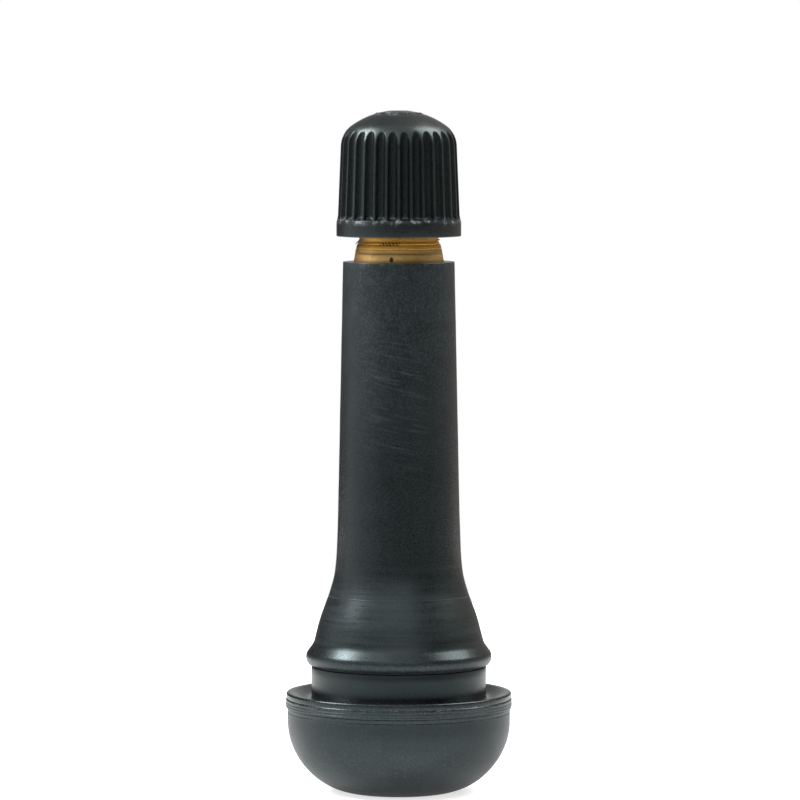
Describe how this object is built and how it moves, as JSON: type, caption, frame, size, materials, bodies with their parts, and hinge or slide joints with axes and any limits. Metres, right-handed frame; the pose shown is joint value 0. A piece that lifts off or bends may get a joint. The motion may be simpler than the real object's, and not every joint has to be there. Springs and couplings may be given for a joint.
{
  "type": "tyre valve",
  "caption": "Snap-in rubber tyre valve with a rounded base, rim groove, flared sleeve, brass stem, spring-loaded core and fluted screw-on dust cap.",
  "frame": {"origin": "centre of the flat foot, on the valve's axis", "axes": "+Z along the valve's axis, from the foot to the cap; -Y faces the camera of the picture"},
  "size_m": [0.0212, 0.0212, 0.0638],
  "materials": {
    "body_rubber": "satin charcoal rubber with a dusty bloom",
    "stem_brass": "turned brass, dulled",
    "core_brass": "bright turned brass",
    "core_steel": "drawn steel wire",
    "seal_rubber": "smooth black rubber",
    "cap_plastic": "semi-gloss black plastic"
  },
  "bodies": {
    "valve_body": {"rubber_body": "body_rubber", "brass_stem": "stem_brass", "core_plug": "core_brass", "core_barrel": "core_brass", "barrel_gasket": "seal_rubber", "core_spring": "core_steel"},
    "plunger": {"core_pin": "core_steel", "valve_cup": "core_brass", "cup_washer": "seal_rubber"},
    "seal": {"cap_seal": "seal_rubber"},
    "cap": {"cap_shell": "cap_plastic"}
  },
  "joints": [
    {"name": "pin_press", "type": "slide", "parent": "valve_body", "child": "plunger", "axis": [0, 0, 1], "range_m": [-0.0013, 0], "stiffness_N_per_m": 700, "springref_m": 0.003, "deforming": ["core_spring"]},
    {"name": "cap_lift", "type": "slide", "parent": "valve_body", "child": "seal", "axis": [0, 0, 1], "range_m": [0, 0.00873]},
    {"name": "cap_turn", "type": "hinge", "parent": "seal", "child": "cap", "pos_m": [0, 0, 0.0575], "axis": [0, 0, 1], "range_deg": [0, 3960]}
  ],
  "couplings": [
    {"joint": "cap_turn", "follows": "cap_lift", "rad_per_m": 7915.8}
  ]
}
